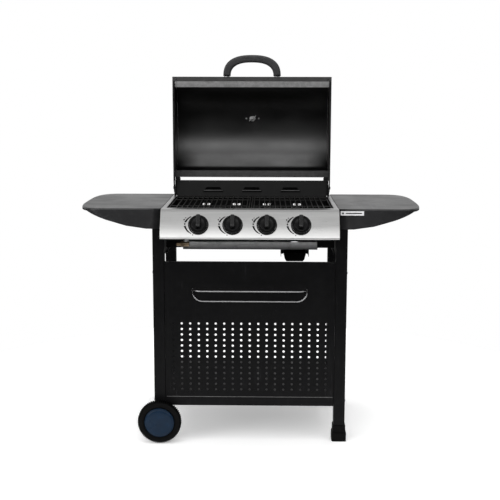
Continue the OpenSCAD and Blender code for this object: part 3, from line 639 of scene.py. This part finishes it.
def add_lid_skin():
    """The lid's barrel, its front rim with a folded return lip, and its rear ledge."""
    lo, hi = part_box("lid_skin")
    lo.x -= 0.25 * MM  # meets the end caps
    hi.x += 0.25 * MM
    rim_y, rear_y = lo.y, PIVOT.y + 31 * MM

    def trimmed(curve):
        """The curve from an upright rear edge at rear_y."""
        curve[0] = (rear_y, curve[0][1])
        return [p for k, p in enumerate(curve) if k == 0 or p[0] > rear_y or k > CURVE_STEPS / 2]

    outer, inner = trimmed(lid_curve(0)), trimmed(lid_curve(SHEET))
    low, top = outer[0][1], outer[-1][1]
    bm = bmesh.new()
    slab(bm, outer + [(rim_y, top), (rim_y, inner[-1][1])] + inner[::-1],
         spread(lo.x, hi.x, 16))
    finish_piece("lid_barrel", bm, "lid_enamel", "lid_skin", bevel=0.0004,
                 replaces=["lid_skin"], angle=50)

    # the front rim takes a much lighter grey than the barrel: painted highlight
    bm = bmesh.new()
    block(bm, (lo.x, rim_y, top - 17 * MM), (hi.x, rim_y + SHEET, top - 0.2 * MM))
    finish_piece("lid_front_rim", bm, "lid_enamel", "lid_skin", "lid_rim", bevel=0.0005)

    # the return lip takes a lighter, cloudy grey: painted reflection
    bm = bmesh.new()
    lip = [(rim_y + y, top - down) for y, down in mm((0.2, 16), (1.4, 15.6), (13.2, 38.6),
                                                     (12.1, 39.2))]
    slab(bm, lip, (lo.x + 7 * MM, hi.x - 7 * MM))
    finish_piece("lid_return_lip", bm, "lid_enamel", "lid_skin", "lid_lip", bevel=0.0003)

    # the rear ledge takes a lighter, cloudy grey: painted reflection
    bm = bmesh.new()
    block(bm, (lo.x, rear_y, low), (hi.x, rear_y + SHEET, low + 26 * MM))
    dimples = 9  # shallow, pressed along the rear ledge
    for i in range(dimples):
        x = lo.x + (hi.x - lo.x) * (i + 0.5) / dimples
        block(bm, (x - 18 * MM, rear_y - 0.5 * MM, low + 7 * MM),
              (x + 18 * MM, rear_y + 0.2 * MM, low + 19 * MM))
    finish_piece("lid_rear_ledge", bm, "lid_enamel", "lid_skin", "lid_ledge", bevel=0.0005)


def add_lid_corners():
    """Corner screws where the end caps meet the return lip."""
    lo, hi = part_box("lid_skin")
    bm = bmesh.new()
    for x in (lo.x + 12 * MM, hi.x - 12 * MM):
        turned(bm, mm((0, -3), (3.6, -3), (3.4, 0.8), (2.2, 1.6), (0, 1.8)),
               Vector((x, lo.y, hi.z - 9 * MM)), (0, -1, 0), 24)
    finish_piece("lid_corner_screws", bm, "lid_enamel", "lid_skin")


def add_handle():
    """A flat moulded arch with rounded edges."""
    lo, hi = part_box("lid_handle")
    half, reach, bar, thick = (hi.x - lo.x) / 2, hi.z - lo.z, 28 * MM, hi.y - lo.y
    power, steps = 2.5, 56
    section = rounded(1.0, 1.0, 0.3, 5)
    foot = Vector(((lo.x + hi.x) / 2, (lo.y + hi.y) / 2, lo.z))
    rings = []
    for i in range(steps + 1):
        t = 180.0 * i / steps
        ox, oz = super_pt(half, reach, power, t)
        ix, iz = super_pt(half - bar, reach - bar, power, t)
        mid = Vector(((ox + ix) / 2, 0, (oz + iz) / 2))
        span = Vector((ox - ix, 0, oz - iz))
        rings.append([foot + mid + span * u + Vector((0, thick * v, 0)) for u, v in section])
    bm = bmesh.new()
    loft(bm, rings)
    finish_piece("handle_arch", bm, "black_plastic", "lid_handle", replaces=["lid_handle"])


def add_gauge_nut():
    """Threaded stem, wing nut and washer inside the lid, and the two screws beside it."""
    lo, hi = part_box("thermometer_stem")
    cx, cz = (lo.x + hi.x) / 2, (lo.z + hi.z) / 2
    skin_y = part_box("lid_skin")[1].y - SHEET
    centre, inward = Vector((cx, skin_y, cz)), (0, -1, 0)
    reach = skin_y - lo.y
    thread = mm((0, -8))
    for i in range(9):
        thread += mm((3.6, -6 + 2.4 * i), (4.1, -4.8 + 2.4 * i))
    thread += mm((3.4, 16.5), (2.6, 17.5))
    thread += [(2.5 * MM, reach - 1.5 * MM), (1.6 * MM, reach), (0, reach)]
    bm = bmesh.new()
    turned(bm, thread, centre, inward, 24)
    finish_piece("gauge_stem", bm, "zinc", "thermometer_stem", "bright_zinc",
                 replaces=["thermometer_stem"])

    bm = bmesh.new()
    turned(bm, mm((4.2, 0.2), (12, 0.2), (12, 1.4), (9, 1.6), (8.4, 6.5), (6.5, 9), (4.2, 9)),
           centre, inward, 32, hoop=True)
    turn = math.radians(38)  # how far the wings lean from level
    across = Vector((-math.sin(turn), 0, math.cos(turn)))
    for s in (-1, 1):
        rings = []
        for k in range(9):
            f = k / 8
            r = (7 + 10.5 * f) * MM
            lift = (5 + 7 * math.sin(f * math.pi * 0.62)) * MM
            wide = (2.2 + 3.6 * math.sin(math.pi * min(f * 0.8 + 0.15, 1))) * MM
            at = Vector((cx + s * r * math.cos(turn), skin_y - lift, cz + s * r * math.sin(turn)))
            rings.append([at + across * u * 2.4 * MM + Vector((0, -v * wide * 2, 0))
                          for u, v in rounded(1, 1, 0.35, 3)])
        loft(bm, rings)
    finish_piece("gauge_wing_nut", bm, "zinc", "thermometer_stem", "bright_zinc")

    bm = bmesh.new()
    for s in (-1, 1):
        turned(bm, mm((0, -1), (4.2, -1), (4.2, 2.4), (2.4, 2.6), (2.2, 6), (0, 6.6)),
               Vector((cx + s * 25 * MM, skin_y, cz)), inward, 6)
    finish_piece("gauge_plate_screws", bm, "zinc", "thermometer_case", "bright_zinc")


def add_handle_nuts():
    """Hexagon screw heads on washers, inside the lid's upright front wall."""
    lo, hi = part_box("handle_fixings")
    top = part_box("lid_skin")[1].z - SHEET
    bm = bmesh.new()
    for s in (-1, 1):
        at = Vector((s * (hi.x - 11 * MM), (lo.y + hi.y) / 2, top))
        turned(bm, mm((0, 0.1), (8.5, 0.1), (8.5, 1.2), (0, 1.2)), at, (0, 0, -1), 32)
        turned(bm, mm((0, 1.2), (5.8, 1.2), (5.8, 4.4), (5, 5), (0, 5)), at, (0, 0, -1), 6)
    finish_piece("handle_screw_heads", bm, "zinc", "handle_fixings", bevel=0.0002)


# ---------------------------------------------------------------- rear wall, panel and badge

def add_vent_details():
    """A rolled bead along each vent's front lip in a lighter grey as a painted highlight, and a dark lining inside
    each vent's rear hood as painted shade.
    """
    wall_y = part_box("back_wall")[0].y + 5.6 * MM  # its front face, behind the vents' lips
    lip_y, lip_z = wall_y - 5.1 * MM, 0.8592
    pitch, lip_half, hood_half, taper = 149 * MM, 36, 37, 3  # the halves and taper in mm
    # outline of a dark sheet inside each hood, painted shade in the vent openings
    soot_and_painted_shade = mm((7.7, 856.2), (7.7, 863.5), (1.4, 873.0), (1.4, 872.3), (7.2, 863.2), (7.2, 856.2))
    beads, shade_linings = bmesh.new(), bmesh.new()
    for i in (-1, 0, 1):
        x = pitch * i
        slab(beads, bead(lip_y, lip_z),
             [x + w * MM for w in (-lip_half, taper - lip_half, lip_half - taper, lip_half)])
        slab(shade_linings, [(wall_y + y, z) for y, z in soot_and_painted_shade],
             (x - hood_half * MM, x + hood_half * MM))
    finish_piece("vent_lip_beads", beads, "firebox_enamel", "back_wall", "painted_highlight_edge")
    finish_piece("vent_hood_painted_shade", shade_linings, "firebox_enamel", "back_wall", "soot_and_painted_shade", angle=20)


def add_hinge_gussets():
    """Folded corner plates that stand behind the rear wall's ends, each with its rivet."""
    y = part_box("back_wall")[1].y + 0.4 * MM
    inner_x, outer_x, low, top = 277.4, 296.4, 881, 909.5
    plate = mm((inner_x, low), (outer_x, low), (outer_x, top), (inner_x + 3, top),
               (inner_x, top - 3))
    rivet = mm((0, -0.4), (3, -0.4), (2.8, 1), (1.6, 1.7), (0, 1.9))
    for name, s in (("left", -1), ("right", 1)):
        bm = bmesh.new()
        loft(bm, [[Vector((s * x, y + d, z)) for x, z in plate] for d in (0, SHEET)])
        flange = sorted((s * inner_x, s * (inner_x + 1.2)))
        block(bm, (flange[0] * MM, y + 0.6 * MM, low * MM),
              (flange[1] * MM, y + 9 * MM, 0.9062))
        turned(bm, rivet, Vector((s * 0.2862, y, 0.9025)), (0, -1, 0), 20)
        finish_piece("hinge_gusset_" + name, bm, "firebox_enamel", "hinge_brackets", bevel=0.0003)


def add_tie_wires():
    """A bent wire through each pair of holes in the rear wall, holding the burner's far end."""
    wire_y, wire_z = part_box("back_wall")[0].y - 0.6 * MM, 0.8056
    r = 1.5 * MM
    leg = [(-9, -7), (-9, 3), (-8.5, 6.2), (-7.4, 7)]
    bent = leg + [(-x, y) for x, y in leg[::-1]]
    bm = bmesh.new()
    for knob in KNOBS:
        path = [Vector((knob.x + x, wire_y + y, wire_z)) for x, y in mm(*bent)]
        rings = []
        for i, p in enumerate(path):
            t = (path[min(i + 1, len(path) - 1)] - path[max(i - 1, 0)]).normalized()
            n = Vector((t.y, -t.x, 0))
            rings.append([p + n * (r * math.cos(a)) + Vector((0, 0, r * math.sin(a)))
                          for a in (math.radians(v) for v in range(0, 360, 36))])
        loft(bm, rings)
    finish_piece("burner_tie_wires", bm, "zinc", "burners", "burner_steel")


def add_panel_hem():
    """The rolled lower edge of the front panel, in a lighter grey as a painted highlight."""
    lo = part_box("front_panel")[0]
    bm = bmesh.new()
    slab(bm, bead(lo.y + 0.2 * MM, lo.z + 1.3 * MM),
         [x * MM for x in (-296, -290, -100, 100, 290, 296)])
    finish_piece("front_panel_hem", bm, "black_steel", "front_panel", "painted_highlight_edge")


def add_badge_print():
    """A plain dot and stripe on the badge, standing for its print."""
    lo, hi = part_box("badge")
    painted_highlight, mid = 0.1 * MM, (lo.z + hi.z) / 2
    bm = bmesh.new()
    # the middle of each mark, then its width, height and corner radius in mm
    for cx, w, h, r in ((lo.x + 8 * MM, 7, 7, 3.4), (lo.x + 46 * MM, 56, 3.4, 1.6)):
        ring = [(cx + u * MM, mid + v * MM) for u, v in rounded(w, h, r, 6)]
        loft(bm, [[Vector((x, lo.y - d, z)) for x, z in ring] for d in (painted_highlight, -painted_highlight)])
    finish_piece("badge_print", bm, "badge_silver", "badge", "print_black")


# ---------------------------------------------------------------- side shelves

def add_side_shelves():
    """Pressed shelves with a rolled top edge and a skirt that sweeps up to the tip."""
    roll, fold, fold_in = 5 * MM, 1.1 * MM, SHEET * 3.2  # top roll, and the skirt's hem
    leg_x, curve_x, seams = 0.34, 0.5, (0.36, 0.43)  # the skirt is level up to leg_x
    for name, s in (("side_shelf_right", 1), ("side_shelf_left", -1)):
        lo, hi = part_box(name)
        near, tip = sorted((abs(lo.x), abs(hi.x)))
        y_mid, b = (lo.y + hi.y) / 2, (hi.y - lo.y) / 2
        low, top = lo.z, hi.z

        def plan(inset):
            """The shelf's outline from above, drawn in by inset on its outer sides."""
            straight = (near,) + seams
            pts = [(x, y_mid - b + inset) for x in straight]
            for t in range(-90, 91, 3):
                dx, dy = super_pt(tip - curve_x - inset, b - inset, 3.3, t)
                pts.append((curve_x + dx, y_mid + dy))
            return pts + [(x, y_mid + b - inset) for x in straight[::-1]]

        def skirt(x):
            """Height of the skirt's lower edge."""
            reach = min(max(x - leg_x, 0) / (tip - 35 * MM - leg_x), 1)
            return low + (top - low - 11 * MM) * reach ** 1.85 + 0.4 * MM

        outer, inner, folded = plan(0), plan(SHEET), plan(fold_in)
        rings = [[(x, y, top) for x, y in plan(roll + 0.02)]]
        for a in (90, 70, 50, 30, 12, 0):
            t = math.radians(a)
            rings.append([(x, y, top - roll + roll * math.sin(t))
                          for x, y in plan(roll - roll * math.cos(t))])
        rings += [[(x, y, skirt(x)) for x, y in outer],
                  [(x, y, skirt(x)) for x, y in folded],
                  [(x, y, skirt(x) + fold) for x, y in folded],
                  [(x, y, skirt(x) + fold) for x, y in inner],
                  [(x, y, top - roll) for x, y in inner],
                  [(x, y, top - SHEET) for x, y in plan(roll)]]
        bm = bmesh.new()
        loft(bm, [[Vector((s * x, y, z)) for x, y, z in ring] for ring in rings])
        finish_piece(name + "_pressing", bm, "shelf_steel", name, replaces=[name])


# ---------------------------------------------------------------- wheels

def add_wheels():
    """Ribbed tyres, domed hub caps and the ring between them, on both wheels."""
    ribs, steps_per_rib, rib_depth = 64, 6, 3.8 * MM
    for end, out in (("front", (0, -1, 0)), ("rear", (0, 1, 0))):
        lo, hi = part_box(end + "_tyre")
        centre = (lo + hi) / 2
        r, w = (hi.z - lo.z) / 2, (hi.y - lo.y) / 2

        def groove(radius, i):
            return rib_depth * (i % steps_per_rib > 2) if radius > r - 4.2 * MM else 0.0

        # pairs of a radius and a distance out from the middle of the tyre
        tyre = [(60.2 * MM, -w + 2 * MM), (64 * MM, -w), (70 * MM, -w),
                (r - 4 * MM, -w + 1.2 * MM), (r - 1.3 * MM, -w + 3.5 * MM), (r, -w + 6.5 * MM),
                (r, 0), (r, w - 6.5 * MM), (r - 1.3 * MM, w - 3.5 * MM),
                (r - 4 * MM, w - 1.2 * MM), (r - 5.5 * MM, w - 0.4 * MM),
                (70 * MM, w - 1 * MM), (66 * MM, w - 1.2 * MM), (63 * MM, w - 0.6 * MM),
                (61.4 * MM, w), (60.2 * MM, w - 0.6 * MM)]
        cap = [(0, w - 3 * MM), (50 * MM, w - 6 * MM), (52.5 * MM, 4 * MM),
               (52.5 * MM, w - 2 * MM), (52 * MM, w - 0.6 * MM), (51 * MM, w + 0.2 * MM),
               (49.8 * MM, w), (49.2 * MM, w - 0.8 * MM), (48.4 * MM, w - 0.6 * MM),
               (47.6 * MM, w + 0.8 * MM), (44 * MM, w + 2.1 * MM), (36 * MM, w + 3.1 * MM),
               (20 * MM, w + 3.8 * MM), (0, w + 4 * MM)]
        rim = [(56 * MM, -w + 2 * MM), (60 * MM, -w + 2 * MM), (60 * MM, w - 2.4 * MM),
               (57 * MM, w - 2.6 * MM), (53.2 * MM, w - 3 * MM), (53.2 * MM, 3 * MM),
               (56 * MM, 3 * MM)]
        bm = bmesh.new()
        turned(bm, tyre, centre, out, ribs * steps_per_rib, hoop=True, groove=groove)
        finish_piece(end + "_ribbed_tyre", bm, "tyre_plastic", end + "_tyre", bevel=0.0002,
                     replaces=[end + "_tyre"], angle=60)
        bm = bmesh.new()
        turned(bm, cap, centre, out, 128)
        finish_piece(end + "_domed_cap", bm, "blue_plastic", end + "_hub_cap",
                     replaces=[end + "_hub_cap"])
        bm = bmesh.new()
        turned(bm, rim, centre, out, 128, hoop=True)
        finish_piece(end + "_rim_ring", bm, "tyre_plastic", end + "_tyre")


# ---------------------------------------------------------------- build

REPLACED = {"control_panel", "knob_bezels", "lid_skin", "lid_handle", "thermometer_stem",
            "side_shelf_left", "side_shelf_right", "front_tyre", "rear_tyre", "front_hub_cap",
            "rear_hub_cap", "knob_1", "knob_2", "knob_3", "knob_4"}
BEVEL = 0.0004  # width of a node's softened edges, in metres
# the nodes whose edges are softer or sharper than that
BEVELS = {"legs_left": 0.0008, "legs_right": 0.0008, "feet": 0.0018, "badge": 0.0006,
          "grease_cup": 0.001, "drip_tray": 0.0008, "bottom_shelf": 0.0008,
          "front_panel": 0.0003, "firebox": 0.0006}
# materials that differ from the one named after the node's slot
LOOKS = {"rim_strips": "strip_steel", "badge": "badge_face", "drip_tray": "tray_sheet_painted_shade",
         "feet": "tyre_plastic", "grease_cup": "soot_and_painted_shade", "front_wheel": "tyre_plastic",
         "rear_wheel": "tyre_plastic", "firebox": "burnt_enamel", "flame_tamers": "sooty_steel"}

for node in frame["nodes"]:
    if node not in REPLACED:
        dress(node, BEVELS.get(node, BEVEL), LOOKS.get(node))

add_control_panel()
add_panel_marks()
add_knobs()
add_lid_skin()
add_lid_corners()
add_handle()
add_gauge_nut()
add_handle_nuts()
add_vent_details()
add_hinge_gussets()
add_tie_wires()
add_panel_hem()
add_badge_print()
add_side_shelves()
add_wheels()


# ---------------------------------------------------------------- camera, floor and light

def add_camera():
    """The photo's view: from a little above, and turned slightly to the left."""
    down, turn, roll = 9.38, 0.95, -0.107  # degrees
    data = bpy.data.cameras.new("camera")
    data.lens, data.sensor_width = 70.24, 36.0
    cam = bpy.data.objects.new("camera", data)
    bpy.context.scene.collection.objects.link(cam)
    cam.location = (0.055, FRONT_Y - 3.3493, 1.247)
    cam.rotation_euler = (math.radians(90 - down), math.radians(roll), math.radians(turn))
    bpy.context.scene.camera = cam


def add_floor():
    me = bpy.data.meshes.new("floor")
    bm = bmesh.new()
    bmesh.ops.create_circle(bm, cap_ends=True, radius=1.5, segments=96)
    bm.to_mesh(me)
    bm.free()
    floor = bpy.data.objects.new("floor", me)
    floor.location = (0, 0, -0.0005)
    bpy.context.scene.collection.objects.link(floor)
    k = Maker("floor_white", (0.93, 0.93, 0.93), 0.7, spec=0.2)
    k.shader.inputs["Emission Color"].default_value = (1, 1, 1, 1)
    k.shader.inputs["Emission Strength"].default_value = 0.3
    k.tint(k.ramp(k.noise(1.5), [(0.3, (0.925, 0.925, 0.925)), (0.7, (0.935, 0.935, 0.935))]))
    me.materials.append(k.material)


def add_world():
    """A studio: white behind, a wide soft box in front, grey overhead and dark low down.
    The camera itself sees plain white."""
    world = bpy.data.worlds.new("studio")
    bpy.context.scene.world = world
    world.use_nodes = True
    k = Nodes(world.node_tree)
    k.tree.nodes.clear()
    toward = k.node("TexCoord").outputs["Generated"]
    x, y, z = (k.part(toward, axis) for axis in "XYZ")

    def soft(socket, start, end, first, last):
        """A soft step from first to last, between the directions start and end."""
        return k.span(socket, first, last, start, end, interpolation_type="SMOOTHSTEP")

    behind = k.fold("MULTIPLY", soft(y, 0.0, 0.5, 0.0, 0.72), soft(z, -0.2, 0.02, 0.0, 1.0),
                    soft(z, 0.3, 0.85, 1.0, 0.45))
    overhead = soft(z, 0.62, 0.95, 0.0, 0.42)
    soft_box = k.fold("MULTIPLY", soft(y, -0.35, -0.05, 2.35, 0.0), soft(z, 0.16, 0.34, 0.0, 1.0),
                      soft(z, 0.44, 0.66, 1.0, 0.15), soft(x, -0.6, 0.9, 1.15, 0.8))
    floor_glow = k.fold("MULTIPLY", soft(z, -0.9, -0.45, 0.30, 0.0), soft(y, -0.2, 0.2, 1.0, 0.4))
    studio, seen, mix = k.node("Background"), k.node("Background"), k.node("MixShader")
    k.link(k.fold("ADD", behind, overhead, soft_box, floor_glow), studio.inputs["Color"])
    seen.inputs["Color"].default_value = (1, 1, 1, 1)
    k.link(k.node("LightPath").outputs["Is Camera Ray"], mix.inputs[0])
    k.link(studio.outputs[0], mix.inputs[1])
    k.link(seen.outputs[0], mix.inputs[2])
    k.link(mix.outputs[0], k.node("OutputWorld").inputs["Surface"])


def add_light(name, place, target, width, height, power, mirrored=True):
    """A rectangular light aimed at a target. One that isn't mirrored shows in no reflection."""
    data = bpy.data.lights.new(name, "AREA")
    data.shape, data.size, data.size_y, data.energy = "RECTANGLE", width, height, power
    o = bpy.data.objects.new(name, data)
    bpy.context.scene.collection.objects.link(o)
    o.visible_glossy = mirrored
    o.location = place
    o.rotation_euler = (Vector(target) - Vector(place)).to_track_quat("-Z", "Y").to_euler()


add_camera()
add_floor()
add_world()
add_light("top_soft", (0.0, 0.4, 3.4), (0, 0.1, 0.6), 3.2, 3.2, 80, mirrored=False)
add_light("front_soft", (0.0, -2.4, 3.2), (0, 0.1, 0.9), 2.4, 2.4, 26, mirrored=False)
add_light("key_left", (-2.6, -2.0, 1.3), (-0.3, -0.1, 0.6), 1.2, 1.8, 16)

bpy.context.scene.view_settings.view_transform = "Standard"
